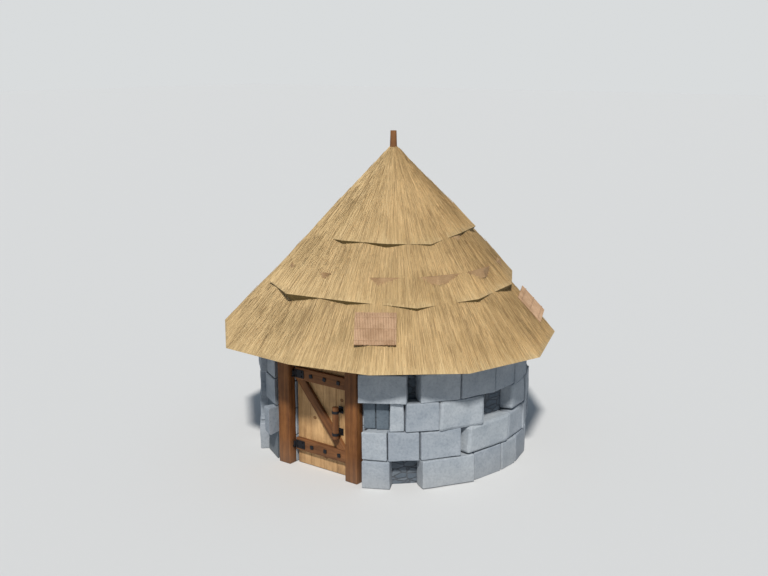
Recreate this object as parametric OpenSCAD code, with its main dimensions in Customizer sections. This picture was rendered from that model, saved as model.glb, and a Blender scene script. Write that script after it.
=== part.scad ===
// Rondavel hut: a twelve-sided stone wall under a thatched cone in three tiers.
// Millimetres, Z up. The origin lies on the hut's axis at ground level and the door faces -Y.
// Bearings are measured from the door towards +X, and the wall and roof turn a corner every 30 degrees.

/* [Wall] */
// Radius to the outer corners of the wall
wall_r = 2300; // [2100:10:2700]
// Thickness of the wall, square to its faces
wall_t = 530; // [400:10:560]
// Height of one course of stone
course_h = 457; // [450:1:560]

/* [Doorway] */
// Clear width between the two door posts
door_w = 1153; // [900:1:1300]
// Height from the ground to the underside of the lintel
door_h = 1900; // [1800:1:1980]
// Width of a door post, seen from the front
post_w = 240; // [160:5:260]
// Depth of a door post, front to back
post_d = 160; // [120:5:200]
// Height of the lintel
lintel_h = 160; // [120:5:180]
// Open gap between a door post and the stone beside it
post_gap = 83.5; // [50:0.5:110]

/* [Door] */
// Gap between the leaf and the door posts, on each side
leaf_gap = 39; // [32:1:50]
// Thickness of the boards
board_t = 50; // [35:1:60]
// Height of a ledge
ledge_h = 200; // [140:5:220]
// Thickness of a ledge
ledge_t = 70; // [50:1:80]
// Height of the middle of the bottom ledge
ledge_low_z = 346; // [250:1:450]
// Height of the middle of the top ledge
ledge_high_z = 1530; // [1400:1:1600]
// Width of the diagonal brace
brace_w = 150; // [100:5:170]
// Thickness of the diagonal brace
brace_t = 60; // [40:1:70]
// Diameter of a hinge pin
pin_d = 14; // [10:1:18]
// Diameter of the upright pull bar
pull_d = 100; // [60:5:120]
// Length of the upright pull bar
pull_l = 520; // [400:10:640]

/* [Roof frame] */
// Slope of the rafters: drop for each unit of run
pitch = 1.023; // [0.95:0.01:1.1]
// Diameter of a log of the wall plate
plate_d = 140; // [110:5:170]
// Diameter of a rafter
rafter_d = 90; // [70:5:110]
// Diameter of a lath
lath_d = 40; // [30:1:50]
// How far the rafters reach past the corners of the wall
rafter_over = 150; // [110:10:260]

/* [Thatch] */
// Thickness of the bottom tier, square to its slope
thatch_t = 153; // [140:1:200]
// How far the eave reaches past the corners of the wall
eave_over = 550; // [540:10:760]
// Radius to the hem of the middle tier
middle_r = 2060; // [1980:5:2140]
// Radius to the hem of the top tier
top_r = 1350; // [1290:5:1400]
// How high the hem of the middle tier stands over the tier below
hem_middle_h = 150; // [110:5:170]
// How high the hem of the top tier stands over the tier below
hem_top_h = 110; // [90:5:130]
// Thickness of a mending patch
patch_t = 35; // [25:1:50]
// Width of a mending patch
patch_w = 620; // [500:10:680]
// Diameter of the finial pole at the thatch
pole_d = 120; // [90:5:130]
// Height of the finial pole above the thatch
finial_h = 280; // [200:10:400]

/* [Hidden] */

sides = 12;
turn = 360/sides;
flat = cos(turn/2);
courses = 5;
// Open joint between pieces that lie or stand against each other
fit = 0.3;
slope_side = pitch/flat;
slope_angle = atan(pitch);
square_side = sqrt(1 + slope_side*slope_side);

// Wall and door frame
wall_h = courses*course_h;
wall_in_r = wall_r - wall_t/flat;
post_x = door_w/2;
recess_w = door_w + 2*post_w + 2*post_gap;
front_y = -wall_r*cos(turn);
post_back_y = front_y + post_d;
reveal_back_y = -wall_in_r*cos(turn) - (wall_in_r*sin(turn) - post_x)*tan(turn/2);
lintel_back_y = reveal_back_y - 20;
head_z = door_h + lintel_h;

// Door leaf
leaf_w = door_w - 2*leaf_gap;
leaf_x = leaf_w/2;
leaf_low_z = 10;
leaf_top = door_h - 14;
leaf_clear = 10;
board_front_y = post_back_y + leaf_clear;
board_n = 4;
board_gap = 3;
ledge_front_y = board_front_y - ledge_t;
ledge_inset = 8;
brace_end = leaf_x - 40;
brace_low = ledge_low_z + ledge_h/2 + fit;
brace_high = ledge_high_z - ledge_h/2 - fit;
brace_lean = atan2(2*brace_end - brace_w, brace_high - brace_low);
brace_cut = brace_w/cos(brace_lean);

// Hinges and pull
strap_h = 130;
strap_l = 190;
strap_t = 10;
knuckle_d = 30;
knuckle_bore = pin_d + 1;
knuckle_h = 70;
pin_x = -leaf_x - knuckle_d/2 - 0.5;
pin_y = ledge_front_y - knuckle_d/2;
pin_over = 8;
gudgeon_h = 26;
gudgeon_gap = 2;
pull_z = 900;
pull_stand = 140;
lug_pitch = 360;
lug_h = 40;
lug_w = 50;
lug_plate_h = 110;
lug_plate_w = 90;
lug_plate_t = 8;
lug_clear = 5;
// The lower lug's plate clears the free side of the brace
lug_low_z = pull_z - lug_pitch/2 - lug_plate_h/2;
pull_x = brace_end - (lug_low_z - brace_low)*(2*brace_end - brace_cut)/(brace_high - brace_low)
         + lug_plate_w/2 + lug_clear;
ring_t = 8;

// Roof frame: the rafters rest on the mitres of the wall plate, and the laths on the rafters
plate_r = plate_d/2;
plate_side = wall_in_r*flat + wall_t/2;
plate_corner = plate_side/flat;
plate_z = wall_h + plate_r + fit;
mitre_reach = sqrt(pow(plate_r/flat*sin(slope_angle), 2) + pow(plate_r*cos(slope_angle), 2));
rafter_z0 = plate_z + (mitre_reach + rafter_d/2 + fit)/cos(slope_angle) + pitch*plate_corner;
// Unit rise between the axes of a lath and a rafter that cross on a corner line
crossing = flat/sqrt(pow(pitch*flat, 2) + pow(pitch*sin(turn/2), 2) + flat*flat);
lath_z0 = rafter_z0 + (lath_d/2 + rafter_d/2 + fit)/crossing;
under_z0 = lath_z0 + (lath_d/2 + fit)*square_side;
rafter_foot_r = wall_r + rafter_over;
lath_pitch = 400;
lath_rings = [for (r = rafter_foot_r - 100; r > 600; r = r - lath_pitch) r];
lath_cut = 6;
crown_r = 230;
crown_flat = crown_r*flat;
crown_top = under_z0 - slope_side*crown_r - fit*square_side;
crown_bottom = rafter_z0 - pitch*crown_flat - rafter_d/2/cos(slope_angle) - 30;
pole_bore = pole_d + 2*fit;
pole_tail = 150;
pole_tip_d = pole_d - 20;

// Thatch: each tier has a slope of its own and is turned a little on the one below
eave_r = wall_r + eave_over;
bottom_z0 = under_z0 + thatch_t*square_side;
middle_pitch = pitch + 0.027;
middle_slope_side = middle_pitch/flat;
middle_z0 = bottom_z0 + hem_middle_h + (middle_pitch - slope_side)*middle_r;
top_pitch = pitch - 0.023;
top_z0 = middle_z0 + hem_top_h + (top_pitch - middle_slope_side)*top_r;
middle_turn = 17;
top_turn = 3;
shelf_bottom = middle_r - 230;
shelf_middle = top_r - 250;
tier_gap = 0.5;
thatch_top_z = top_z0 - top_pitch*(pole_d/2 + 5);
eave_cut = 40;
fascia_in = 120;
fascia_drop = 140;
hem_drop = 200;

// How far each corner of a hem lies outwards and upwards of its line, going round from the door
eave_out = [-10, 10, 20, -20, -145, -60, 0, 0, -20, 0, 80, 40];
eave_up = [-15, -20, -40, -100, -175, -120, -60, -70, -30, 50, 65, -70];
middle_out = [25, 40, -10, -25, 0, 0, 30, -20, 40, 10, 5, 100];
middle_up = [0, -70, -90, -55, -20, -20, 20, -30, 30, 40, -60, 60];
top_out = [80, 65, 0, -50, 10, -20, 20, 0, -20, 20, -55, 0];
top_up = [35, 5, -100, -50, 20, -20, 10, -20, 0, 20, -60, -80];
corners = [0:sides - 1];
eave_bearings = [for (k = corners) k*turn + (k == 0 ? 4 : 0)];
eave_radii = [for (k = corners) eave_r + eave_out[k]];
eave_heights = [for (k = corners) bottom_z0 - pitch*eave_radii[k] + eave_up[k]];
middle_bearings = [for (k = corners) k*turn + middle_turn];
middle_radii = [for (k = corners) middle_r + middle_out[k]];
middle_heights = [for (k = corners) middle_z0 - middle_pitch*middle_radii[k] + middle_up[k]];
top_bearings = [for (k = corners) k*turn + top_turn];
top_radii = [for (k = corners) top_r + top_out[k]];
top_heights = [for (k = corners) top_z0 - top_pitch*top_radii[k] + top_up[k]];

// Bindings and patches
binding_h = 120;
binding_w = 100;
binding_lean = 39;
binding_lower_r = middle_r - 286;
binding_lower_z = middle_z0 - middle_slope_side*binding_lower_r + 45;
binding_upper_r = top_r - 62;
binding_upper_z = top_z0 - top_pitch*binding_upper_r - 98;
patch_h = 560;
patch_front_r = (eave_r + middle_r)/2 - 125;
patch_side_r = (eave_r + middle_r)/2 - 163;
patch_lift = 0.9;

// Plan point at a bearing and a radius
function spot(b, r) = [r*sin(b), -r*cos(b)];

// A stretch of wall between two bearings, from the outer to the inner face, with open joints at its ends
module stretch(b0, b1, h) {
    joint = fit/2;
    linear_extrude(h)
        polygon([spot(b0, wall_r) + joint*spot(b0 + 90, 1), spot(b1, wall_r) - joint*spot(b1 + 90, 1),
                 spot(b1, wall_in_r) - joint*spot(b1 + 90, 1), spot(b0, wall_in_r) + joint*spot(b0 + 90, 1)]);
}

// What the slope of the rafters takes off the outer edge of the wall head
module head_bevel(b) {
    rotate(b)
        translate([0, 0, rafter_z0 - (rafter_d/2 + fit)/cos(slope_angle)])
            rotate([atan(slope_side), 0, 0])
                translate([-wall_r, -4*wall_r, 0])
                    cube([2*wall_r, 4*wall_r, wall_r]);
}

// Stone between one turn of the wall and the next
module wall_segment(k) {
    color("lightslategray")
        difference() {
            stretch(k*turn, (k + 1)*turn, wall_h);
            head_bevel((k + 0.5)*turn);
        }
}

// Stone from a turn to the reveal, with a recess for the post and a seat for the lintel
module jamb() {
    face_y = front_y - (wall_r*sin(turn) - recess_w/2)*tan(turn/2);
    color("lightslategray")
        difference() {
            linear_extrude(wall_h)
                polygon([[wall_r*sin(turn) - fit/2, front_y], [recess_w/2, face_y],
                         [recess_w/2, post_back_y], [post_x, post_back_y], [post_x, reveal_back_y],
                         [wall_in_r*sin(turn) - fit/2, -wall_in_r*cos(turn)]]);
            translate([0, 2*front_y, door_h])
                cube([recess_w/2, lintel_back_y + fit - 2*front_y, wall_h]);
            head_bevel(turn/2);
        }
}

// The course that the lintel carries, flat across the doorway
module wall_over_door() {
    color("lightslategray")
        translate([fit - recess_w/2, front_y, head_z + fit])
            cube([recess_w - 2*fit, lintel_back_y - front_y, wall_h - head_z - fit]);
}

// A squared timber that stands in the recess and carries the lintel
module post() {
    color("saddlebrown")
        translate([post_x, front_y, 0])
            cube([post_w, post_d - fit, door_h]);
}

module lintel() {
    color("saddlebrown")
        translate([fit - recess_w/2, front_y, door_h + fit])
            cube([recess_w - 2*fit, lintel_back_y - front_y, lintel_h - fit]);
}

// Logs laid along the wall head and mitred at every turn
module wall_plate() {
    mitre_gap = fit/2/sin(turn/2);
    color("peru")
        for (k = [0:sides - 1])
            rotate((k + 0.5)*turn)
                intersection() {
                    translate([0, -plate_side, plate_z])
                        rotate([0, 90, 0])
                            cylinder(h = plate_corner, d = plate_d, center = true, $fn = 48);
                    translate([0, -mitre_gap, 0])
                        linear_extrude(2*wall_h)
                            polygon([[0, 0], 2*plate_corner*spot(-turn/2, 1), 2*plate_corner*spot(turn/2, 1)]);
                }
}

// The hub that the rafters lean on, bored for the finial pole
module crown_block() {
    color("sienna")
        translate([0, 0, crown_bottom])
            difference() {
                rotate(turn/2)
                    cylinder(h = crown_top - crown_bottom, r = crown_r, $fn = sides);
                translate([0, 0, -1])
                    cylinder(h = crown_top - crown_bottom + 2, d = pole_bore, $fn = 48);
            }
}

// Poles on the corner lines, cut plumb at the crown block and at the foot
module rafters() {
    color("peru")
        for (k = [0:sides - 1])
            rotate(k*turn)
                intersection() {
                    translate([0, 0, rafter_z0])
                        rotate([90 + slope_angle, 0, 0])
                            cylinder(h = 2*rafter_foot_r, d = rafter_d, $fn = 32);
                    translate([-rafter_d, -rafter_foot_r, 0])
                        cube([2*rafter_d, rafter_foot_r - crown_flat - fit, rafter_z0]);
                }
}

// Rings of straight laths, each from one rafter to the next
module laths() {
    color("burlywood")
        for (k = [0:sides - 1], r = lath_rings)
            rotate((k + 0.5)*turn)
                translate([0, -r*flat, lath_z0 - pitch*r])
                    rotate([0, 90, 0])
                        cylinder(h = 2*(r*sin(turn/2) - lath_cut), d = lath_d, center = true, $fn = 16);
}

// A filled cone with flat facets between its corners, whose hem turns in underneath
module hem_cone(apex_z, bearings, radii, heights, turn_in, drop, base_z) {
    n = len(radii);
    points = concat(
        [[0, 0, apex_z]],
        [for (i = [0:n - 1]) concat(spot(bearings[i], radii[i]), heights[i])],
        [for (i = [0:n - 1]) concat(spot(bearings[i], radii[i] - turn_in), heights[i] - drop)],
        [[0, 0, base_z]]);
    faces = [for (i = [0:n - 1], part = [0:3])
        let (a = i + 1, b = (i + 1)%n + 1)
        part == 0 ? [0, b, a] :
        part == 1 ? [a, b, b + n] :
        part == 2 ? [a, b + n, a + n] : [2*n + 1, a + n, b + n]];
    polyhedron(points, faces);
}

module eave_cone() {
    hem_cone(bottom_z0, eave_bearings, eave_radii, eave_heights,
             eave_cut, eave_cut/3, bottom_z0 - pitch*eave_r - hem_drop/3);
}

module middle_cone() {
    hem_cone(middle_z0, middle_bearings, middle_radii, middle_heights,
             fascia_in, fascia_drop, bottom_z0 - slope_side*middle_r - hem_drop);
}

module top_cone() {
    hem_cone(top_z0, top_bearings, top_radii, top_heights,
             fascia_in, fascia_drop, middle_z0 - middle_slope_side*top_r - hem_drop);
}

// The space that the laths and rafters fill
module under_thatch() {
    reach = eave_r + 300;
    translate([0, 0, under_z0 - pitch*reach])
        cylinder(h = pitch*reach, r1 = reach, r2 = 0, $fn = sides);
}

// A tier stops at a shelf, and the next tier up carries on to the laths from there
module bottom_mass(gap = 0) {
    difference() {
        translate([0, 0, gap])
            eave_cone();
        cylinder(h = 2*bottom_z0, r = shelf_bottom - gap, $fn = sides);
    }
}

module middle_mass(gap = 0) {
    difference() {
        translate([0, 0, gap])
            middle_cone();
        cylinder(h = 2*bottom_z0, r = shelf_middle - gap, $fn = sides);
    }
}

// A flat-topped tie round a tier, whose corners stand out between the corners of the thatch
module binding(r, z, gap = 0) {
    translate([0, 0, z])
        rotate_extrude($fn = sides)
            offset(delta = gap)
                polygon([[r, 0], [r - binding_w, 0], [r + binding_lean - binding_w, -binding_h],
                         [r + binding_lean, -binding_h]]);
}

module binding_lower(gap = 0) {
    color("rosybrown")
        binding(binding_lower_r, binding_lower_z, gap);
}

module binding_upper(gap = 0) {
    color("rosybrown")
        binding(binding_upper_r, binding_upper_z, gap);
}

// Each tier is laid in twelve panels, with an open seam over every rafter
module seams() {
    for (k = [0:sides - 1])
        rotate(k*turn)
            translate([-fit/2, -2*eave_r, 0])
                cube([fit, 2*eave_r, 2*bottom_z0]);
}

module thatch_bottom() {
    color("burlywood")
        difference() {
            bottom_mass();
            under_thatch();
            seams();
        }
}

module thatch_middle() {
    color("burlywood")
        difference() {
            middle_mass();
            bottom_mass(tier_gap);
            under_thatch();
            binding_lower(fit);
            binding_upper(fit);
            seams();
        }
}

module thatch_top() {
    color("burlywood")
        difference() {
            top_cone();
            middle_mass(tier_gap);
            under_thatch();
            binding_upper(fit);
            translate([0, 0, crown_bottom])
                cylinder(h = top_z0 - crown_bottom, d = pole_bore, $fn = 48);
            translate([0, 0, thatch_top_z])
                cylinder(h = top_z0 - thatch_top_z + 1, r = shelf_middle, $fn = sides);
            seams();
        }
}

// A stiff mat pinned over a ridge of the bottom tier: shifted across it, swung from its bearing
// and rolled about it
module patch(k, r, shift, swing, roll) {
    slope = (bottom_z0 - eave_heights[k])/eave_radii[k];
    color("rosybrown")
        rotate(eave_bearings[k])
            translate([0, -r, bottom_z0 - slope*r])
                rotate(swing)
                    rotate([atan(slope), 0, 0])
                        rotate([0, roll, 0])
                            translate([shift - patch_w/2, -patch_h/2, patch_lift])
                                cube([patch_w, patch_h, patch_t]);
}

// Wedged in the crown block, with a tapered tip above the thatch
module finial_pole() {
    color("sienna")
        rotate_extrude($fn = 48)
            polygon([[0, crown_bottom - pole_tail], [pole_d/2, crown_bottom - pole_tail],
                     [pole_d/2, thatch_top_z], [pole_tip_d/2, thatch_top_z + finial_h],
                     [0, thatch_top_z + finial_h]]);
}

// Upright boards of the leaf, side by side
module door_boards() {
    width = (leaf_w - (board_n - 1)*board_gap)/board_n;
    color("peru")
        for (i = [0:board_n - 1])
            translate([i*(width + board_gap) - leaf_x, board_front_y, leaf_low_z])
                cube([width, board_t, leaf_top - leaf_low_z]);
}

module ledge(z) {
    color("sienna")
        translate([ledge_inset - leaf_x, ledge_front_y, z - ledge_h/2])
            cube([leaf_w - 2*ledge_inset, ledge_t - fit, ledge_h]);
}

// Runs from the hinge side under the top ledge to the free side over the bottom ledge
module brace() {
    color("sienna")
        translate([0, board_front_y - fit, 0])
            rotate([90, 0, 0])
                linear_extrude(brace_t - fit)
                    polygon([[-brace_end, brace_high], [brace_end - brace_cut, brace_low],
                             [brace_end, brace_low], [brace_cut - brace_end, brace_high]]);
}

// A plate bolted to the end of a ledge, drawn out into an eye for the hinge pin
module strap(z) {
    back_y = ledge_front_y - fit;
    color("darkslategray")
        translate([0, 0, z])
            difference() {
                union() {
                    translate([ledge_inset - leaf_x, back_y - strap_t, -strap_h/2])
                        cube([strap_l, strap_t, strap_h]);
                    translate([pin_x, back_y - strap_t, -knuckle_h/2])
                        cube([ledge_inset - leaf_x - pin_x + 1, strap_t, knuckle_h]);
                    translate([pin_x, pin_y, -knuckle_h/2])
                        cylinder(h = knuckle_h, d = knuckle_d, $fn = 48);
                }
                translate([pin_x, pin_y, -knuckle_h/2 - 1])
                    cylinder(h = knuckle_h + 2, d = knuckle_bore, $fn = 48);
            }
}

// Pins on short arms that are let into the post, one under each eye
module gudgeons() {
    color("darkslategray")
        for (z = [ledge_low_z, ledge_high_z])
            translate([0, pin_y, z - knuckle_h/2 - gudgeon_gap]) {
                translate([fit - post_x, -knuckle_d/2, -gudgeon_h])
                    cube([post_x + pin_x + knuckle_d/2 - 2*fit, knuckle_d, gudgeon_h]);
                translate([pin_x, 0, -gudgeon_h])
                    cylinder(h = gudgeon_h + gudgeon_gap + knuckle_h + pin_over, d = pin_d, $fn = 48);
            }
}

// Two iron lugs, each a plate on the boards, an arm and a ring round the pull
module pull_lugs() {
    color("darkslategray")
        for (side = [-1, 1])
            translate([pull_x, 0, pull_z + side*lug_pitch/2]) {
                translate([-lug_plate_w/2, board_front_y - fit - lug_plate_t, -lug_plate_h/2])
                    cube([lug_plate_w, lug_plate_t, lug_plate_h]);
                difference() {
                    union() {
                        translate([-lug_w/2, board_front_y - pull_stand, -lug_h/2])
                            cube([lug_w, pull_stand - fit - lug_plate_t/2, lug_h]);
                        translate([0, board_front_y - pull_stand, -lug_h/2])
                            cylinder(h = lug_h, d = pull_d + 2*ring_t, $fn = 48);
                    }
                    translate([0, board_front_y - pull_stand, -lug_h/2 - 1])
                        cylinder(h = lug_h + 2, d = pull_d + 2*fit, $fn = 48);
                }
            }
}

// A round bar, a little thicker at its ends
module pull_bar() {
    color("sienna")
        translate([pull_x, board_front_y - pull_stand, pull_z - pull_l/2])
            cylinder(h = pull_l, d = pull_d, $fn = 48);
}

wall_segment(1);  // wall_01
wall_segment(2);  // wall_02
wall_segment(3);  // wall_03
wall_segment(4);  // wall_04
wall_segment(5);  // wall_05
wall_segment(6);  // wall_06
wall_segment(7);  // wall_07
wall_segment(8);  // wall_08
wall_segment(9);  // wall_09
wall_segment(10);  // wall_10
mirror([1, 0, 0]) jamb();  // jamb_left
jamb();  // jamb_right
wall_over_door();
lintel();
mirror([1, 0, 0]) post();  // post_left
post();  // post_right
wall_plate();
crown_block();
rafters();
laths();
thatch_bottom();
thatch_middle();
thatch_top();
binding_lower();
binding_upper();
patch(1, patch_front_r, 30, 6, 0);  // patch_front
patch(4, patch_side_r, 0, 0, -8);  // patch_side
finial_pole();
gudgeons();
door_boards();
ledge(ledge_high_z);  // ledge_top
ledge(ledge_low_z);  // ledge_bottom
brace();
strap(ledge_high_z);  // strap_top
strap(ledge_low_z);  // strap_bottom
pull_lugs();
pull_bar();
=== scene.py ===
# Rondavel hut: a coursed stone wall, a thatched roof in three tiers on poles, and a ledged plank door.
import math
import random

import bmesh
import bpy
from mathutils import Matrix, Vector, noise


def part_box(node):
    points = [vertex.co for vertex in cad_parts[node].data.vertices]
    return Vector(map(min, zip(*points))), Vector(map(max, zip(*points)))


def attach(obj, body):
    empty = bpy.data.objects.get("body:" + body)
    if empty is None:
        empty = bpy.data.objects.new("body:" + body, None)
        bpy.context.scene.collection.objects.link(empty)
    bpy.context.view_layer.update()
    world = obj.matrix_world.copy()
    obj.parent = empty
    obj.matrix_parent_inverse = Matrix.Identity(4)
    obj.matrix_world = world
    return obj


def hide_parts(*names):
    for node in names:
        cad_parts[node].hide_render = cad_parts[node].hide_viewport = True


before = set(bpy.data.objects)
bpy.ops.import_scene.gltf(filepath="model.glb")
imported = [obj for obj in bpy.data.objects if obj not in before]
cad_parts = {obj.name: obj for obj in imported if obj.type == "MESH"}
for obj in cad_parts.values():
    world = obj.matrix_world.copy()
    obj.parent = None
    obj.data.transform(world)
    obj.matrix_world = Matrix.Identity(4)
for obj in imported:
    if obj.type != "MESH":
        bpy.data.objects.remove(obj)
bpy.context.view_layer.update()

# The view: a 50 mm lens 6.5 m up at the front right, 37 degrees round from the door, that looks down a
# little at the hut.
view_data = bpy.data.cameras.new("view")
view_data.lens = 50
view_data.sensor_width = 36
view_data.clip_end = 500
view = bpy.data.objects.new("view", view_data)
view.location = (10.579, -13.941, 6.5)
view.rotation_euler = (math.radians(77.61), 0, math.radians(37.7))
bpy.context.scene.collection.objects.link(view)
bpy.context.scene.camera = view

# The studio: a pale floor that runs out of sight, a broad soft key from the front, and an even pale sky.
# What is seen of the sky has the floor's own shade, so that no horizon shows from the front.
floor_size = 160
floor_z = -0.001
floor_grey = (0.68, 0.685, 0.69, 1)
sky_light = (0.62, 0.80, 1.0, 1)
sky_seen = (0.694, 0.714, 0.721, 1)
key_bearing = 34
key_height = 47
key_strength = 3.6
key_spread = 5
key_warmth = (1.0, 0.965, 0.91)
sky_strength = 0.24

floor_mesh = bpy.data.meshes.new("floor")
bm = bmesh.new()
bmesh.ops.create_grid(bm, x_segments=1, y_segments=1, size=floor_size)
bmesh.ops.translate(bm, vec=(0, 0, floor_z), verts=bm.verts)
bm.to_mesh(floor_mesh)
bm.free()
floor_paint = bpy.data.materials.new("floor_paint")
floor_paint.use_nodes = True
floor_shader = floor_paint.node_tree.nodes["Principled BSDF"]
floor_shader.inputs["Base Color"].default_value = floor_grey
floor_shader.inputs["Roughness"].default_value = 0.95
floor_mesh.materials.append(floor_paint)
floor = bpy.data.objects.new("floor", floor_mesh)
bpy.context.scene.collection.objects.link(floor)

key_data = bpy.data.lights.new("key", "SUN")
key_data.energy = key_strength
key_data.angle = math.radians(key_spread)
key_data.color = key_warmth
key = bpy.data.objects.new("key", key_data)
key.rotation_euler = (math.radians(90 - key_height), 0, math.radians(key_bearing))
bpy.context.scene.collection.objects.link(key)

sky = bpy.data.worlds.new("sky")
bpy.context.scene.world = sky
sky.use_nodes = True
sky_nodes = sky.node_tree.nodes
sky_links = sky.node_tree.links
sky_lit = sky_nodes["Background"]
sky_lit.inputs["Color"].default_value = sky_light
sky_lit.inputs["Strength"].default_value = sky_strength
sky_shown = sky_nodes.new("ShaderNodeBackground")
sky_shown.inputs["Color"].default_value = sky_seen
sky_path = sky_nodes.new("ShaderNodeLightPath")
sky_either = sky_nodes.new("ShaderNodeMixShader")
sky_mirrored = sky_nodes.new("ShaderNodeMath")
sky_mirrored.operation = "MAXIMUM"
sky_links.new(sky_path.outputs["Is Glossy Ray"], sky_mirrored.inputs[0])
sky_links.new(sky_path.outputs["Is Transmission Ray"], sky_mirrored.inputs[1])
sky_direct = sky_nodes.new("ShaderNodeMath")
sky_direct.operation = "MAXIMUM"
sky_links.new(sky_path.outputs["Is Camera Ray"], sky_direct.inputs[0])
sky_links.new(sky_mirrored.outputs["Value"], sky_direct.inputs[1])
sky_links.new(sky_direct.outputs["Value"], sky_either.inputs["Fac"])
sky_links.new(sky_lit.outputs["Background"], sky_either.inputs[1])
sky_links.new(sky_shown.outputs["Background"], sky_either.inputs[2])
sky_links.new(sky_either.outputs["Shader"], sky_nodes["World Output"].inputs["Surface"])
bpy.context.scene.view_settings.view_transform = "Standard"

# The wall core: rubble bedded in earth mortar, set back behind the facing blocks outside and fair faced
# inside. Its colours are the rubble's and mortar's own dark, darkened further as painted shade of the gaps.
# It is one ring with twelve corners, open at the doorway, where squared jamb stones close its ends.
turns = 12
turn = math.radians(360 / turns)
flat = math.cos(turn / 2)
wall_low, wall_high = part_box("wall_03")
wall_r = wall_high.x
core_out_r = wall_r - 0.21
core_in_r = wall_low.x / math.sin(2 * turn)
course_h = 0.457
wall_top = wall_high.z
reveal_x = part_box("post_right")[0].x
core_stop_x = reveal_x + 0.03
reveal_back_y = -core_in_r * math.cos(turn) - (core_in_r * math.sin(turn) - reveal_x) * math.tan(turn / 2)
core_end_y = reveal_back_y + (core_stop_x - reveal_x) * math.tan(turn / 2)
wall_nodes = ["wall_%02d" % k for k in range(1, 11)] + ["jamb_left", "jamb_right", "wall_over_door"]


def spot(bearing, r, z=0.0):
    """A point at a bearing, counted from the door towards +X, in degrees."""
    b = math.radians(bearing)
    return Vector((r * math.sin(b), -r * math.cos(b), z))


def finish_piece(bm, name, material, body, slot, *nodes, smooth_under=None):
    """Turns a bmesh into a piece that moves with a body and stands for CAD nodes."""
    bmesh.ops.recalc_face_normals(bm, faces=bm.faces)
    mesh = bpy.data.meshes.new(name)
    bm.to_mesh(mesh)
    bm.free()
    mesh.materials.append(material)
    if smooth_under:
        mesh.shade_smooth()
        mesh.set_sharp_from_angle(angle=math.radians(smooth_under))
    piece = bpy.data.objects.new(name, mesh)
    bpy.context.scene.collection.objects.link(piece)
    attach(piece, body)
    if nodes:
        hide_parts(*nodes)
    return piece


def node_group(name, inputs, outputs):
    """An empty shader node group with named sockets, its input node and its output node."""
    group = bpy.data.node_groups.new(name, "ShaderNodeTree")
    kinds = {"colour": "NodeSocketColor", "value": "NodeSocketFloat", "vector": "NodeSocketVector"}
    for label, kind, start in inputs:
        socket = group.interface.new_socket(label, in_out="INPUT", socket_type=kinds[kind])
        socket.default_value = start
    for label, kind in outputs:
        group.interface.new_socket(label, in_out="OUTPUT", socket_type=kinds[kind])
    return group, group.nodes.new("NodeGroupInput"), group.nodes.new("NodeGroupOutput")


def noise_node(nodes, links, vector, scale, detail=3.0, rough=0.55):
    """A noise texture read at a vector socket."""
    made = nodes.new("ShaderNodeTexNoise")
    made.inputs["Scale"].default_value = scale
    made.inputs["Detail"].default_value = detail
    made.inputs["Roughness"].default_value = rough
    links.new(vector, made.inputs["Vector"])
    return made.outputs["Fac"]


def ramp_node(nodes, links, value, *stops):
    """A colour ramp over a value socket, each stop a place and a colour."""
    made = nodes.new("ShaderNodeValToRGB")
    band = made.color_ramp
    while len(band.elements) < len(stops):
        band.elements.new(0.5)
    for element, (place, colour) in zip(band.elements, stops):
        element.position = place
        element.color = (*colour, 1)
    links.new(value, made.inputs["Fac"])
    return made.outputs["Color"]


def feed(links, socket, given):
    """Gives a socket what it reads: another node's output, or a plain value."""
    if isinstance(given, bpy.types.NodeSocket):
        links.new(given, socket)
    else:
        socket.default_value = given


def mix_node(nodes, links, mode, amount, first, second):
    """Mixes two colours by an amount. Each of the three is a socket or a plain value."""
    made = nodes.new("ShaderNodeMix")
    made.data_type = "RGBA"
    made.blend_type = mode
    for socket, given in ((made.inputs[0], amount), (made.inputs[6], first), (made.inputs[7], second)):
        feed(links, socket, (*given, 1) if isinstance(given, tuple) else given)
    return made.outputs[2]


def math_node(nodes, links, operation, first, second=0.0):
    """One operation on one or two values, each a socket or a number."""
    made = nodes.new("ShaderNodeMath")
    made.operation = operation
    feed(links, made.inputs[0], first)
    feed(links, made.inputs[1], second)
    return made.outputs[0]


def stretched(nodes, links, vector, scale):
    """A place read with a scale of its own along each axis."""
    made = nodes.new("ShaderNodeMapping")
    made.inputs["Scale"].default_value = scale
    links.new(vector, made.inputs["Vector"])
    return made.outputs["Vector"]


def bump_node(nodes, links, height, distance, shader, strength=1.0):
    """A bump from a height in metres, into a shader's normal."""
    made = nodes.new("ShaderNodeBump")
    made.inputs["Distance"].default_value = distance
    made.inputs["Strength"].default_value = strength
    links.new(height, made.inputs["Height"])
    links.new(made.outputs["Normal"], shader.inputs["Normal"])


def new_material(name, roughness, metallic=0.0, specular=0.3):
    """A material with its nodes, its links and its shader."""
    material = bpy.data.materials.new(name)
    material.use_nodes = True
    shader = material.node_tree.nodes["Principled BSDF"]
    shader.inputs["Roughness"].default_value = roughness
    shader.inputs["Metallic"].default_value = metallic
    shader.inputs["Specular IOR Level"].default_value = specular
    return material, material.node_tree.nodes, material.node_tree.links, shader


# Painted shade: these rubble and mortar colours are darker than the rubble in light, for the shade of the
# gaps.
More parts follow.
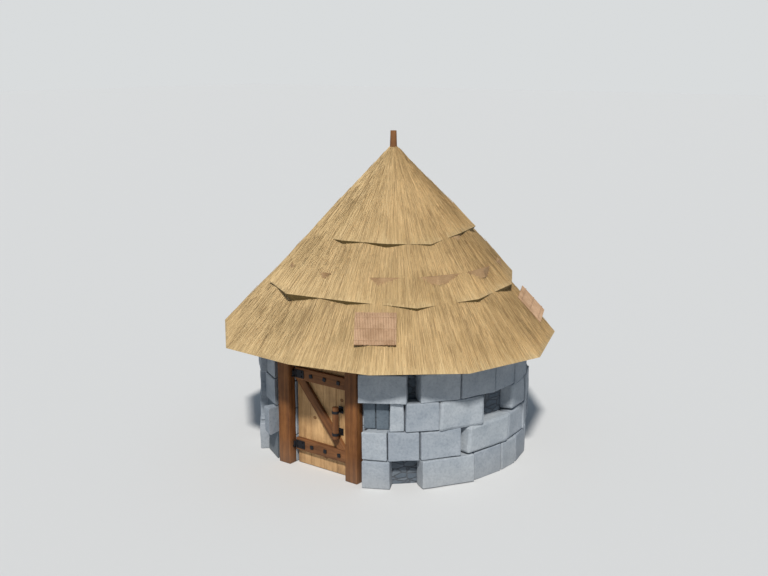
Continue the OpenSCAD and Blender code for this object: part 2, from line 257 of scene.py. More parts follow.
rubble_size = 5.5
rubble_dark_painted_shade = (0.105, 0.13, 0.16)
rubble_pale_painted_shade = (0.165, 0.19, 0.22)
earth_mortar_painted_shade = (0.095, 0.105, 0.12)
rubble_and_painted_shade, nodes, links, shader = new_material("core_rubble_painted_shade", 0.93, specular=0.2)
place = nodes.new("ShaderNodeTexCoord").outputs["Object"]
rubble_shape = stretched(nodes, links, place, (1, 1, 1.9))
rubble = nodes.new("ShaderNodeTexVoronoi")
rubble.feature = "DISTANCE_TO_EDGE"
rubble_tone = nodes.new("ShaderNodeTexVoronoi")
for cells in (rubble, rubble_tone):
    cells.inputs["Scale"].default_value = rubble_size
    links.new(rubble_shape, cells.inputs["Vector"])
tone = nodes.new("ShaderNodeSeparateColor")
links.new(rubble_tone.outputs["Color"], tone.inputs["Color"])
stone_part = ramp_node(nodes, links, tone.outputs["Red"], (0.0, rubble_dark_painted_shade), (1.0, rubble_pale_painted_shade))
joint = ramp_node(nodes, links, rubble.outputs["Distance"], (0.02, (0, 0, 0)), (0.09, (1, 1, 1)))
mottle = noise_node(nodes, links, place, 22, 5)
mixed = mix_node(nodes, links, "MIX", joint, earth_mortar_painted_shade, stone_part)
links.new(mix_node(nodes, links, "MULTIPLY", 0.5, mixed,
                   ramp_node(nodes, links, mottle, (0.3, (0.55, 0.55, 0.55)), (0.7, (1, 1, 1)))),
          shader.inputs["Base Color"])
bump_node(nodes, links, math_node(nodes, links, "ADD", joint, mottle), 0.007, shader)

bm = bmesh.new()
outline = [spot(30 * k, core_out_r) for k in range(1, turns)]
outline += [Vector((-core_stop_x, -core_out_r * math.cos(turn), 0)), Vector((-core_stop_x, core_end_y, 0))]
outline += [spot(30 * k, core_in_r) for k in range(turns - 1, 0, -1)]
outline += [Vector((core_stop_x, core_end_y, 0)), Vector((core_stop_x, -core_out_r * math.cos(turn), 0))]
foot = bm.faces.new([bm.verts.new(point) for point in outline])
raised = bmesh.ops.extrude_face_region(bm, geom=[foot])["geom"]
bmesh.ops.translate(bm, vec=(0, 0, wall_top), verts=[v for v in raised if isinstance(v, bmesh.types.BMVert)])
finish_piece(bm, "wall_core", rubble_and_painted_shade, "hut", "stone", *wall_nodes)

# Facing blocks: hard blue-grey stone, squared with a hammer and laid in courses of one height.
# Some have fallen out or were never laid. Some gaps hold blocks set back almost to the core,
# in the darkest stone tone, as painted shade of the recess.
# Those in sight follow the real wall, the rest have random widths.
# A laid block has the bearings of its two ends, the radius of its face, and how rough its arrises are.
block_back_r = wall_r - 0.29
core_face = wall_r - 0.175
joint_t = 0.010
arris = 0.017
recess_side_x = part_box("wall_over_door")[1].x + 0.006
close_side_x = recess_side_x + 0.025
open_side_x = recess_side_x + 0.056
under_eave = [(20, 42.4, 2.28, 1), (47.6, 64.1, 2.275, 1), (64.2, 81, 2.28, 1), (81.1, 94.6, 2.28, 1),
              (94.7, 110, 2.275, 1)]
laid = {
    0: [(21, 36.1, 2.26, 1), (48.3, 70.6, 2.28, 1), (71.2, 86.7, 2.25, 1), (87.1, 97.5, 2.27, 1),
        (98, 112, 2.26, 1)],
    1: [(21, 34.8, 2.26, 1), (35.2, 47.3, 2.27, 1), (47.8, 64.6, 2.26, 1), (67.2, 90.6, 2.28, 3),
        (91.5, 106, 2.26, 3)],
    2: [(21, 29.9, core_face, 1), (30.2, 35.6, core_face, 1), (35.9, 41.6, 2.23, 1), (42, 55.1, 2.28, 1),
        (55.6, 75.2, 2.30, 4), (94.4, 108.5, 2.27, 3)],
    3: under_eave,
    4: under_eave,
}
left_under_eave = [(310, 324, 2.26, 1), (324.4, 340, 2.16, 1)]
laid_left = {
    0: [(306, 321, 2.27, 1), (321.5, 340, core_face, 1)],
    1: [(308, 318, 2.26, 1), (318.5, 330.8, core_face, 1), (331.2, 342, 2.30, 2)],
    2: [(305, 321, 2.25, 1), (321.5, 340, 2.16, 1)],
    3: left_under_eave,
    4: left_under_eave,
}
courses = 5
facing_top = 2.205
beside_door = 24
chance_missing = 0.11
on_ground = ((0, 0, 0.001), (0, 0, -1))


def ease(part, edges, offset, segments=2):
    """Rounds edges of a part."""
    bmesh.ops.bevel(part, geom=edges, offset=offset, offset_type="OFFSET", segments=segments, profile=0.5,
                    affect="EDGES", material=-1, clamp_overlap=True)


def stone_block(bm, size, place, rng, arris, shade, skew=0.008, cuts=()):
    """A hammer-dressed block: corners a little out, arrises knocked off, faces uneven."""
    part = bmesh.new()
    bmesh.ops.create_cube(part, size=1.0)
    bmesh.ops.scale(part, vec=size, verts=part.verts)
    for corner in part.verts:
        corner.co += Vector((rng.uniform(-skew, skew), rng.uniform(-skew, skew), rng.uniform(-skew, skew)))
    ease(part, part.edges[:], arris)
    long_edges = [e for e in part.edges if e.calc_length() > 0.09]
    bmesh.ops.subdivide_edges(part, edges=long_edges, cuts=4, use_grid_fill=True)
    part.normal_update()
    start = Vector((rng.uniform(0, 90), rng.uniform(0, 90), rng.uniform(0, 90)))
    for v in part.verts:
        broad = 0.0055 * noise.noise(v.co * 6.5 + start)
        fine = 0.0025 * noise.noise(v.co * 19 + start)
        v.co += v.normal * (broad + fine)
    tone = part.verts.layers.float.new("tone")
    for v in part.verts:
        v[tone] = shade
    bmesh.ops.transform(part, matrix=place, verts=part.verts)
    trim(part, cuts)
    add_part(bm, part)


def trim(part, cuts):
    """Cuts a part off square at each plane, a point and the way that faces out, and closes it."""
    for point, normal in cuts:
        cut = bmesh.ops.bisect_plane(part, geom=part.verts[:] + part.edges[:] + part.faces[:], dist=0.0001,
                                     plane_co=point, plane_no=normal, clear_outer=True)
        rim = [e for e in cut["geom_cut"] if isinstance(e, bmesh.types.BMEdge)]
        bmesh.ops.holes_fill(part, edges=rim, sides=0)


def add_part(bm, part):
    """Adds a finished part to a piece and frees it."""
    carrier = bpy.data.meshes.new("carrier")
    part.to_mesh(carrier)
    part.free()
    bm.from_mesh(carrier)
    bpy.data.meshes.remove(carrier)


def range_node(nodes, links, value, start, stop, low=0.0, high=1.0):
    """Moves a value from one range to another."""
    made = nodes.new("ShaderNodeMapRange")
    for label, given in (("From Min", start), ("From Max", stop), ("To Min", low), ("To Max", high)):
        made.inputs[label].default_value = given
    links.new(value, made.inputs["Value"])
    return made.outputs["Result"]


def weathering_group():
    """Broad stains, fine mottle and dust that gathers near the ground, as three masks."""
    group, given, out = node_group(
        "weathering",
        [("Vector", "vector", (0, 0, 0)), ("Stain size", "value", 2.0), ("Mottle size", "value", 30.0)],
        [("Stain", "value"), ("Mottle", "value"), ("Low", "value")])
    nodes, links = group.nodes, group.links
    for label, size, detail in (("Stain", "Stain size", 3.0), ("Mottle", "Mottle size", 6.0)):
        cloud = nodes.new("ShaderNodeTexNoise")
        cloud.inputs["Detail"].default_value = detail
        cloud.inputs["Roughness"].default_value = 0.6
        links.new(given.outputs["Vector"], cloud.inputs["Vector"])
        links.new(given.outputs[size], cloud.inputs["Scale"])
        links.new(cloud.outputs["Fac"], out.inputs[label])
    apart = nodes.new("ShaderNodeSeparateXYZ")
    links.new(given.outputs["Vector"], apart.inputs["Vector"])
    links.new(range_node(nodes, links, apart.outputs["Z"], 0.45, 0.0), out.inputs["Low"])
    return group


weathering = weathering_group()


def weather(nodes, links, stain_size, mottle_size):
    """Places the weathering group on the object's own coordinates."""
    made = nodes.new("ShaderNodeGroup")
    made.node_tree = weathering
    made.inputs["Stain size"].default_value = stain_size
    made.inputs["Mottle size"].default_value = mottle_size
    links.new(nodes.new("ShaderNodeTexCoord").outputs["Object"], made.inputs["Vector"])
    return made.outputs


blue_stone, nodes, links, shader = new_material("blue_stone", 0.86, specular=0.25)
worn = weather(nodes, links, 3.2, 26)
tone = nodes.new("ShaderNodeAttribute")
tone.attribute_name = "tone"
# The stop at tone 0 is painted shade, for blocks set back in the gaps; the other stops are the stone's own
# range.
body = ramp_node(nodes, links, tone.outputs["Fac"], (0.0, (0.125, 0.155, 0.185)), (0.3, (0.31, 0.345, 0.39)),
                 (1.0, (0.42, 0.455, 0.49)))
stained = mix_node(nodes, links, "MULTIPLY", 0.8, body,
                   ramp_node(nodes, links, worn["Stain"], (0.32, (0.74, 0.77, 0.80)), (0.62, (1, 1, 1))))
flecked = mix_node(nodes, links, "MULTIPLY", 0.45, stained,
                   ramp_node(nodes, links, worn["Mottle"], (0.34, (0.62, 0.64, 0.67)), (0.56, (1, 1, 1)),
                             (0.72, (1.0, 1.0, 1.0))))
dusted = mix_node(nodes, links, "MIX", math_node(nodes, links, "MULTIPLY", worn["Low"], 0.25), flecked,
                  (0.33, 0.31, 0.28))
links.new(dusted, shader.inputs["Base Color"])
bump_node(nodes, links, worn["Mottle"], 0.008, shader)


def lay_course(bm, course, blocks, rng):
    """Lays the blocks of one course, each square to its own middle and cut plumb beside the doorway."""
    low = course * course_h + (0.002 if course == 0 else joint_t / 2)
    high = min((course + 1) * course_h, facing_top) - joint_t / 2
    for start, stop, face, rough in blocks:
        middle = (start + stop) / 2
        width = 2 * face * math.sin(math.radians(stop - start) / 2) - joint_t
        depth = face - block_back_r
        place = Matrix.Translation(spot(middle, face - depth / 2, (low + high) / 2))
        place = place @ Matrix.Rotation(math.radians(middle), 4, "Z")
        side = 1 if start < 180 else -1
        at_recess = side < 0 or face == core_face
        cut_x = side * (recess_side_x if at_recess else close_side_x if course > 2 else open_side_x)
        cuts = [on_ground] if course == 0 else []
        if start < beside_door or stop > 360 - beside_door:
            cuts.append(((cut_x, 0, 0), (-side, 0, 0)))
        # Blocks set back in the gaps get tone 0, the darkest stone colour, as painted shade of the recess.
        # Others get a random tone.
        shade = 0 if face == core_face else rng.uniform(0.3, 1)
        worn_off = arris * (1 + 0.7 * (rough - 1))
        stone_block(bm, (width, depth, high - low), place, rng, worn_off, shade, 0.008 * rough, cuts)


rng = random.Random(41)
bm = bmesh.new()
for course in range(courses):
    blocks = laid[course] + laid_left[course]
    bearing = laid[course][-1][1] + 0.5
    end = laid_left[course][0][0] - 0.5
    while bearing < end:
        stop = bearing + rng.uniform(13, 20)
        if stop > end - 9:
            stop = end
        # A missing block leaves one set back almost to the core, which lay_course colours in tone 0 as
        # painted shade.
        if rng.random() < chance_missing and 0 < course < courses - 1:
            blocks.append((bearing + 0.3, stop - 0.3, core_face, 1))
        else:
            blocks.append((bearing + 0.15, stop - 0.15, rng.uniform(2.245, 2.29), rng.choice((1, 1, 1, 2))))
        bearing = stop
    lay_course(bm, course, blocks, rng)
finish_piece(bm, "facing_blocks", blue_stone, "hut", "stone")

# Jamb stones: squared on three sides, one to a course, each reveal standing just clear of the door post.
# The course over the lintel is three short blocks.
jamb_x = reveal_x + 0.003
jamb_front_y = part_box("post_right")[1].y + 0.004
jamb_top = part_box("lintel")[0].z
jamb_arris = 0.012
over_x = 0.895
over_top = 2.24
bm = bmesh.new()
for side in (-1, 1):
    for course in range(courses):
        low = course * course_h + 0.004
        high = min((course + 1) * course_h, jamb_top) - 0.006
        far = rng.uniform(0.93, 1.02)
        size = (far - jamb_x, reveal_back_y - jamb_front_y, high - low)
        middle = Vector((side * (far + jamb_x) / 2, (reveal_back_y + jamb_front_y) / 2, (low + high) / 2))
        cuts = [on_ground] if course == 0 else []
        stone_block(bm, size, Matrix.Translation(middle), rng, jamb_arris, rng.uniform(0.3, 1), 0.003, cuts)
low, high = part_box("wall_over_door")
for start, stop in ((-over_x, -0.33), (-0.32, 0.27), (0.28, over_x)):
    size = (stop - start, high.y - low.y - joint_t, over_top - low.z)
    middle = Vector(((start + stop) / 2, (low.y + high.y) / 2, (over_top + low.z) / 2))
    stone_block(bm, size, Matrix.Translation(middle), rng, arris, rng.uniform(0.3, 1), 0.004)
finish_piece(bm, "jamb_stones", blue_stone, "hut", "stone")

# Door posts and lintel: squared hardwood baulks, adzed rather than planed, the posts standing on the ground
# in a recess of the wall and carrying the lintel.

def timber(bm, size, place, rng, arris=0.008, waver=0.004, cuts=10):
    """A sawn or adzed timber that lies along X, with its grain read along its own length."""
    part = bmesh.new()
    bmesh.ops.create_cube(part, size=1.0)
    bmesh.ops.scale(part, vec=size, verts=part.verts)
    grain = part.verts.layers.float_vector.new("grain_co")
    tone = part.verts.layers.float.new("tone")
    ease(part, part.edges[:], arris)
    along = [e for e in part.edges if abs((e.verts[0].co - e.verts[1].co).x) > size[0] * 0.5]
    bmesh.ops.subdivide_edges(part, edges=along, cuts=cuts, use_grid_fill=True)
    part.normal_update()
    start = Vector((rng.uniform(0, 50), rng.uniform(0, 50), rng.uniform(0, 50)))
    shade = rng.random()
    for v in part.verts:
        v[grain] = v.co + start
        v[tone] = shade
        adze = Vector((v.co.x * 3.1, v.co.y * 9, v.co.z * 9))
        v.co += v.normal * waver * (noise.noise(adze + start) - 0.4)
    bmesh.ops.transform(part, matrix=place, verts=part.verts)
    add_part(bm, part)


def upright(x, y, z):
    """Stands a timber that lies along X on its end, its width still along X."""
    return Matrix.Translation((x, y, z)) @ Matrix.Rotation(math.radians(-90), 4, "Y")


def wood_group():
    """Grain that runs along the first axis of a timber: long streaks, pores and slow bands."""
    group, given, out = node_group(
        "wood_grain",
        [("Light", "colour", (0.4, 0.25, 0.15, 1)), ("Dark", "colour", (0.2, 0.1, 0.06, 1)),
         ("Fineness", "value", 1.0)],
        [("Color", "colour"), ("Height", "value"), ("Roughness", "value")])
    nodes, links = group.nodes, group.links
    own = nodes.new("ShaderNodeAttribute")
    own.attribute_name = "grain_co"
    tone = nodes.new("ShaderNodeAttribute")
    tone.attribute_name = "tone"
    sized = nodes.new("ShaderNodeVectorMath")
    sized.operation = "SCALE"
    links.new(own.outputs["Vector"], sized.inputs[0])
    links.new(given.outputs["Fineness"], sized.inputs["Scale"])
    along = sized.outputs["Vector"]
    streak = noise_node(nodes, links, stretched(nodes, links, along, (1.1, 22, 22)), 1.0, 4, 0.6)
    pore = noise_node(nodes, links, stretched(nodes, links, along, (7, 150, 150)), 1.0, 2, 0.5)
    band = noise_node(nodes, links, stretched(nodes, links, along, (0.8, 3, 3)), 1.0, 2, 0.5)
    share = math_node(nodes, links, "ADD", math_node(nodes, links, "MULTIPLY", streak, 0.75),
                      math_node(nodes, links, "MULTIPLY", band, 0.35))
    pale = range_node(nodes, links, share, 0.42, 0.68)
    colour = mix_node(nodes, links, "MIX", pale, given.outputs["Dark"], given.outputs["Light"])
    shades = ramp_node(nodes, links, tone.outputs["Fac"], (0.0, (0.84, 0.82, 0.80)), (1.0, (1, 1, 1)))
    toned = mix_node(nodes, links, "MULTIPLY", 1.0, colour, shades)
    pored = mix_node(nodes, links, "MULTIPLY", 0.55, toned,
                     ramp_node(nodes, links, pore, (0.30, (0.45, 0.40, 0.36)), (0.46, (1, 1, 1))))
    links.new(pored, out.inputs["Color"])
    links.new(math_node(nodes, links, "ADD", streak, math_node(nodes, links, "MULTIPLY", pore, 0.5)),
              out.inputs["Height"])
    links.new(range_node(nodes, links, streak, 0.0, 1.0, 0.82, 0.58), out.inputs["Roughness"])
    return group


wood_grain = wood_group()


def wood_material(name, light, dark, fineness=1.0, depth=0.0025, low_dirt=0.0):
    """A timber's material: its grain, darkened where stains lie and dusty near the ground."""
    material, nodes, links, shader = new_material(name, 0.7, specular=0.3)
    grain = nodes.new("ShaderNodeGroup")
    grain.node_tree = wood_grain
    grain.inputs["Light"].default_value = (*light, 1)
    grain.inputs["Dark"].default_value = (*dark, 1)
    grain.inputs["Fineness"].default_value = fineness
    worn = weather(nodes, links, 4.5, 60)
    stained = mix_node(nodes, links, "MULTIPLY", 0.55, grain.outputs["Color"],
                       ramp_node(nodes, links, worn["Stain"], (0.34, (0.62, 0.58, 0.55)), (0.60, (1, 1, 1))))
    dirt = mix_node(nodes, links, "MIX", math_node(nodes, links, "MULTIPLY", worn["Low"], low_dirt), stained,
                    (0.24, 0.20, 0.16))
    links.new(dirt, shader.inputs["Base Color"])
    links.new(grain.outputs["Roughness"], shader.inputs["Roughness"])
    bump_node(nodes, links, grain.outputs["Height"], depth, shader)
    return material


frame_wood = wood_material("frame_wood", (0.27, 0.110, 0.032), (0.135, 0.051, 0.017), 0.8, 0.005, 0.2)
baulk_arris = 0.012
baulk_waver = 0.006
baulk_cuts = 16
bm = bmesh.new()
for name in ("post_left", "post_right"):
    low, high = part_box(name)
    size = (high.z - low.z - 0.002, high.y - low.y, high.x - low.x)
    timber(bm, size, upright(*(low + high) / 2), rng, baulk_arris, baulk_waver, baulk_cuts)
finish_piece(bm, "door_posts", frame_wood, "hut", "frame_timber", "post_left", "post_right", smooth_under=40)
bm = bmesh.new()
low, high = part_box("lintel")
place = Matrix.Translation((low + high) / 2)
timber(bm, tuple(high - low), place, rng, baulk_arris, baulk_waver, baulk_cuts)
finish_piece(bm, "lintel_beam", frame_wood, "hut", "frame_timber", "lintel", smooth_under=40)

# Roof poles: peeled gum poles. Twelve logs mitred into a ring on the wall head, a rafter over each mitre,
# and rings of thin laths tied across the rafters to carry the thatch.
pitch = 1.023
plate_z = (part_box("wall_plate")[0].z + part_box("wall_plate")[1].z) / 2
plate_r = (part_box("wall_plate")[1].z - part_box("wall_plate")[0].z) / 2
plate_side = (wall_r + core_in_r) / 2 * flat
plate_l = plate_side * 0.62
rafter_r = 0.045
rafter_low, rafter_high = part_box("rafters")
rafter_foot_r = rafter_high.x
rafter_slope = math.atan(pitch)
rafter_z0 = rafter_low.z + pitch * rafter_foot_r + rafter_r / math.cos(rafter_slope)
lath_r = 0.020
lath_rings = [rafter_foot_r - 0.1 - 0.4 * i for i in range(5)]
lath_z0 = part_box("laths")[1].z + pitch * lath_rings[-1] - lath_r
crown_low, crown_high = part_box("crown_block")
crown_r = 0.229
crown_arris = 0.01
rafter_head_r = 0.2226


def pole(bm, length, radii, place, rng, sides=12, waver=0.004, rings=6, cuts=()):
    """A peeled pole along X, not quite straight or round, trimmed where it meets its neighbours."""
    part = bmesh.new()
    bmesh.ops.create_cone(part, cap_ends=True, segments=sides, radius1=radii[0], radius2=radii[1],
                          depth=length, matrix=Matrix.Rotation(math.radians(90), 4, "Y"))
    along = [e for e in part.edges if abs((e.verts[0].co - e.verts[1].co).x) > length * 0.5]
    bmesh.ops.subdivide_edges(part, edges=along, cuts=rings, use_grid_fill=True)
    grain = part.verts.layers.float_vector.new("grain_co")
    tone = part.verts.layers.float.new("tone")
    start = Vector((rng.uniform(0, 50), rng.uniform(0, 50), rng.uniform(0, 50)))
    shade = rng.random()
    part.normal_update()
    for v in part.verts:
        v[grain] = v.co + start
        v[tone] = shade
        bend = Vector((0, noise.noise(Vector((v.co.x * 1.4, 0, 0)) + start),
                       noise.noise(Vector((v.co.x * 1.4, 7, 0)) + start)))
        v.co += bend * waver + v.normal * waver * 0.5 * noise.noise(v.co * 9 + start)
    bmesh.ops.transform(part, matrix=place, verts=part.verts)
    trim(part, cuts)
    add_part(bm, part)


roof_wood = wood_material("roof_wood", (0.40, 0.27, 0.15), (0.22, 0.135, 0.075), 1.4, 0.003)
bm = bmesh.new()
for k in range(turns):
    middle = 30 * k + 15
    place = Matrix.Translation(spot(middle, plate_side, plate_z))
    place = place @ Matrix.Rotation(math.radians(middle), 4, "Z")
    mitres = [((0, 0, 0), spot(middle + 90 + 15, 1)), ((0, 0, 0), spot(middle - 90 - 15, 1))]
    pole(bm, plate_l, (plate_r, plate_r * 0.97), place, rng, 20, 0.003, 5, mitres)
finish_piece(bm, "plate_logs", roof_wood, "hut", "roof_timber", "wall_plate", smooth_under=45)
bm = bmesh.new()
middle_r = (crown_high.x * flat + rafter_foot_r) / 2
rafter_l = (rafter_foot_r - 0.2) / math.cos(rafter_slope) + 0.12
for k in range(turns):
    place = Matrix.Rotation(math.radians(30 * k), 4, "Z")
    place = place @ Matrix.Translation((0, -middle_r, rafter_z0 - pitch * middle_r))
    place = place @ Matrix.Rotation(rafter_slope, 4, "X") @ Matrix.Rotation(math.radians(-90), 4, "Z")
    foot = (spot(30 * k, rafter_foot_r - 0.002), spot(30 * k, 1))
    head = (spot(30 * k, rafter_head_r), spot(30 * k, -1))
    pole(bm, rafter_l, (rafter_r, rafter_r * 0.94), place, rng, 14, 0.004, 8, (foot, head))
finish_piece(bm, "rafter_poles", roof_wood, "hut", "roof_timber", "rafters", smooth_under=45)
bm = bmesh.new()
for k in range(turns):
    for r in lath_rings:
        middle = 30 * k + 15
        place = Matrix.Translation(spot(middle, r * flat, lath_z0 - pitch * r))
        place = place @ Matrix.Rotation(math.radians(middle), 4, "Z")
        pole(bm, 2 * (r * math.sin(turn / 2) - 0.006), (lath_r, lath_r * 0.93), place, rng, 8, 0.003, 3)
finish_piece(bm, "lath_poles", roof_wood, "hut", "roof_timber", "laths", smooth_under=50)
bm = bmesh.new()
bmesh.ops.create_cone(bm, cap_ends=True, segments=turns, radius1=crown_r, radius2=crown_r,
                      depth=crown_high.z - crown_low.z, matrix=Matrix.Rotation(turn / 2, 4, "Z"))
ease(bm, bm.edges[:], crown_arris)
grain = bm.verts.layers.float_vector.new("grain_co")
for v in bm.verts:
    v[grain] = Vector((v.co.z, v.co.x, v.co.y))
bmesh.ops.translate(bm, vec=(0, 0, (crown_high.z + crown_low.z) / 2), verts=bm.verts)
finish_piece(bm, "crown_hub", roof_wood, "hut", "roof_timber", "crown_block", smooth_under=40)

# Thatch: long dry grass laid butts down in bundles, tied to the laths and combed down the slope. Each tier is
# dressed to a hem. The bulk is one body a tier, with a coat of loose stems combed over it.
straw_pale = (0.69, 0.51, 0.275)
straw_mid = (0.52, 0.375, 0.190)
straw_deep = (0.33, 0.222, 0.112)
# Painted shade: faces that turn downward, under the hems and inside the roof, are mixed towards this dark
# olive.
straw_painted_shade = (0.155, 0.112, 0.038)


def vector_node(nodes, links, operation, *given):
    """The outputs of one operation on vectors, each a socket or three numbers."""
    made = nodes.new("ShaderNodeVectorMath")
    made.operation = operation
    for socket, vector in zip(made.inputs, given):
        feed(links, socket, vector)
    return made.outputs


def straw_group():
    """Stems that run up the slope: fine streaks round the roof, long ones up it, and weathered patches."""
    group, given, out = node_group(
        "straw", [("Streaks", "value", 260.0)],
        [("Fine", "value"), ("Broad", "value"), ("Patches", "value"), ("Painted shade", "value")])
    nodes, links = group.nodes, group.links
    coords = nodes.new("ShaderNodeTexCoord")
    level = vector_node(nodes, links, "MULTIPLY", coords.outputs["Object"], (1, 1, 0))["Vector"]
    length = vector_node(nodes, links, "LENGTH", level)["Value"]
    around = vector_node(nodes, links, "NORMALIZE", level)["Vector"]
    apart = nodes.new("ShaderNodeSeparateXYZ")
    links.new(around, apart.inputs["Vector"])
    for label, across, along in (("Fine", 1.0, 2.6), ("Broad", 0.16, 1.1)):
        joined = nodes.new("ShaderNodeCombineXYZ")
        wide = math_node(nodes, links, "MULTIPLY", given.outputs["Streaks"], across)
        links.new(math_node(nodes, links, "MULTIPLY", apart.outputs["X"], wide), joined.inputs["X"])
        links.new(math_node(nodes, links, "MULTIPLY", apart.outputs["Y"], wide), joined.inputs["Y"])
        links.new(math_node(nodes, links, "MULTIPLY", length, along), joined.inputs["Z"])
        links.new(noise_node(nodes, links, joined.outputs["Vector"], 1.0, 3, 0.6), out.inputs[label])
    links.new(noise_node(nodes, links, coords.outputs["Object"], 1.3, 3, 0.55), out.inputs["Patches"])
    # A mask of faces that turn downward, for painted shade under the hems and inside the roof.
    facing = nodes.new("ShaderNodeSeparateXYZ")
    links.new(coords.outputs["Normal"], facing.inputs["Vector"])
    links.new(range_node(nodes, links, facing.outputs["Z"], 0.1, -0.15), out.inputs["Painted shade"])
    return group


straw_pattern = straw_group()


def straw_material(name, loose):
    """Straw, either the dressed bulk with its streaks or loose stems that carry a tone each."""
    material, nodes, links, shader = new_material(name, 0.72, specular=0.25)
    made = nodes.new("ShaderNodeGroup")
    made.node_tree = straw_pattern
    pattern = made.outputs
    if loose:
        own = nodes.new("ShaderNodeAttribute")
        own.attribute_name = "tone"
        share = own.outputs["Fac"]
    else:
        share = math_node(nodes, links, "ADD", math_node(nodes, links, "MULTIPLY", pattern["Fine"], 0.6),
                          math_node(nodes, links, "MULTIPLY", pattern["Broad"], 0.4))
    stops = ((0.0, straw_deep), (0.45, straw_mid), (1.0, straw_pale)) if loose else \
            ((0.36, straw_deep), (0.50, straw_mid), (0.66, straw_pale))
    colour = ramp_node(nodes, links, share, *stops)
    patches = ramp_node(nodes, links, pattern["Patches"], (0.36, (0.80, 0.78, 0.74)), (0.60, (1, 1, 1)))
    weathered = mix_node(nodes, links, "MULTIPLY", 0.75, colour, patches)
    # Painted shade: the bulk's faces that turn downward are mixed towards a dark olive.
    painted_shade_share = math_node(nodes, links, "MULTIPLY", pattern["Painted shade"], 0.9)
    with_painted_shade = mix_node(nodes, links, "MIX", painted_shade_share, weathered, straw_painted_shade)
    links.new(weathered if loose else with_painted_shade, shader.inputs["Base Color"])
    if not loose:
        bump_node(nodes, links, share, 0.02, shader)
    return material


def dress(material, *names):
    """Gives the finished material to CAD nodes whose shape stays as it is."""
    for name in names:
        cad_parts[name].data.materials.clear()
        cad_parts[name].data.materials.append(material)


thatch_bulk = straw_material("thatch_bulk", False)
loose_straw = straw_material("loose_straw", True)
dress(thatch_bulk, "thatch_bottom", "thatch_middle", "thatch_top")

butt_r = 0.0042
tip_r = 0.0026
stem_mesh = bpy.data.meshes.new("stem")
bm = bmesh.new()
bmesh.ops.create_cone(bm, cap_ends=True, segments=3, radius1=butt_r, radius2=tip_r, depth=1.0,
                      matrix=Matrix.Translation((0, 0, 0.5)))
bm.to_mesh(stem_mesh)
bm.free()
stem = bpy.data.objects.new("stem", stem_mesh)


def random_node(nodes, kind, seed, low, high):
    """A random number or vector for each stem."""
    made = nodes.new("FunctionNodeRandomValue")
    made.data_type = kind
    first = 0 if kind == "FLOAT_VECTOR" else 2
    made.inputs[first].default_value = low
    made.inputs[first + 1].default_value = high
    made.inputs["Seed"].default_value = seed
    return made.outputs[first // 2]


